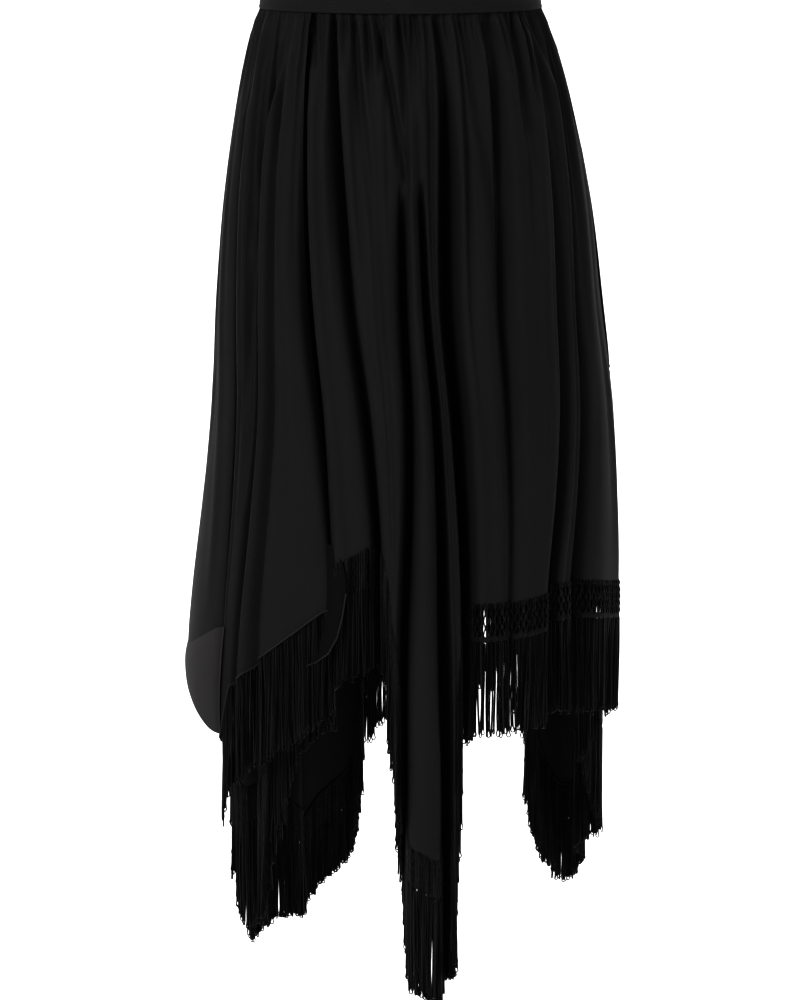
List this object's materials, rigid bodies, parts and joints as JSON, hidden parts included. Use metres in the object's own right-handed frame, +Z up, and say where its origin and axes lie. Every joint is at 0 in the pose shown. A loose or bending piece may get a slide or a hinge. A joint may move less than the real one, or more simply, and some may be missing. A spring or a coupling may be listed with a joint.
{
  "type": "fringed skirt",
  "caption": "Gathered black midi skirt with a handkerchief hem, a draped over-panel and long knotted fringe, in the hollow form that it has when worn.",
  "frame": {"origin": "middle of the waist at half the waistband's height, where the wearer holds the skirt up", "axes": "+Z up towards the wearer's chest, front of the skirt towards -Y, +X to the right of someone who looks at the front"},
  "size_m": [0.412, 0.3621, 0.9649],
  "materials": {
    "crepe": "matt black crepe",
    "band": "matt black, smooth",
    "fringe": "black rayon cord, slight lustre"
  },
  "bodies": {
    "root": {"waistband": "band", "skirt_front": "crepe", "skirt_back": "crepe", "over_panel": "crepe", "fringe_front": "fringe", "fringe_back": "fringe", "fringe_over_back": "fringe", "fringe_over_flap": "fringe"}
  },
  "joints": []
}
